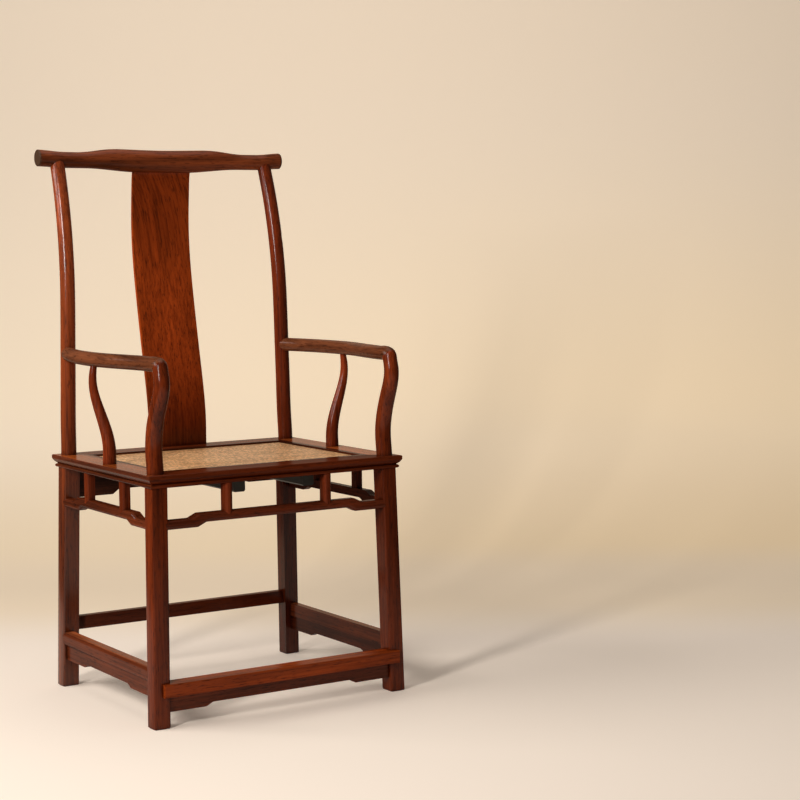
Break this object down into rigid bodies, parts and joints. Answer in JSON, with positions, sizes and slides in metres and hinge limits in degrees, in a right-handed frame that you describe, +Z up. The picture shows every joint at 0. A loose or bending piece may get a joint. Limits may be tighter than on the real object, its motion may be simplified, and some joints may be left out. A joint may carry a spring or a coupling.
{
  "type": "official's hat armchair",
  "caption": "High-backed hardwood armchair with a bowed top rail, curved splat, S-shaped arm posts, woven cane seat and stepped stretchers.",
  "frame": {"origin": "on the floor, under the middle of the chair's overall width and depth", "axes": "+X to the sitter's left, +Y to the back of the chair, +Z up"},
  "size_m": [0.6346, 0.569, 1.1822],
  "materials": {
    "hardwood": "satin",
    "dark_lacquered_wood": "matte",
    "cane_strip_wood": "satin",
    "woven_cane": "matte",
    "palm_fibre": "matte"
  },
  "bodies": {
    "root": {"arm_rail_left": "hardwood", "arm_rail_right": "hardwood", "back_splat": "hardwood", "cane_seat": "woven_cane", "cane_strip_front": "cane_strip_wood", "cane_strip_left": "cane_strip_wood", "cane_strip_rear": "cane_strip_wood", "cane_strip_right": "cane_strip_wood", "crest_pegs": "hardwood", "crest_rail": "hardwood", "foot_apron_front": "hardwood", "foot_apron_left": "hardwood", "foot_apron_right": "hardwood", "foot_stretcher_left": "hardwood", "foot_stretcher_rear": "hardwood", "foot_stretcher_right": "hardwood", "footrest": "hardwood", "front_leg_left": "hardwood", "front_leg_right": "hardwood", "front_strut_left": "hardwood", "front_strut_right": "hardwood", "humpback_stretcher_front": "hardwood", "humpback_stretcher_left": "hardwood", "humpback_stretcher_right": "hardwood", "palm_fibre_underlay": "palm_fibre", "rear_apron": "hardwood", "rear_leg_left": "hardwood", "rear_leg_right": "hardwood", "seat_brace_left": "dark_lacquered_wood", "seat_brace_right": "dark_lacquered_wood", "seat_rail_front": "hardwood", "seat_rail_left": "hardwood", "seat_rail_rear": "hardwood", "seat_rail_right": "hardwood", "side_post_left": "hardwood", "side_post_right": "hardwood", "side_strut_front_left": "hardwood", "side_strut_front_right": "hardwood", "side_strut_rear_left": "hardwood", "side_strut_rear_right": "hardwood"}
  },
  "joints": []
}
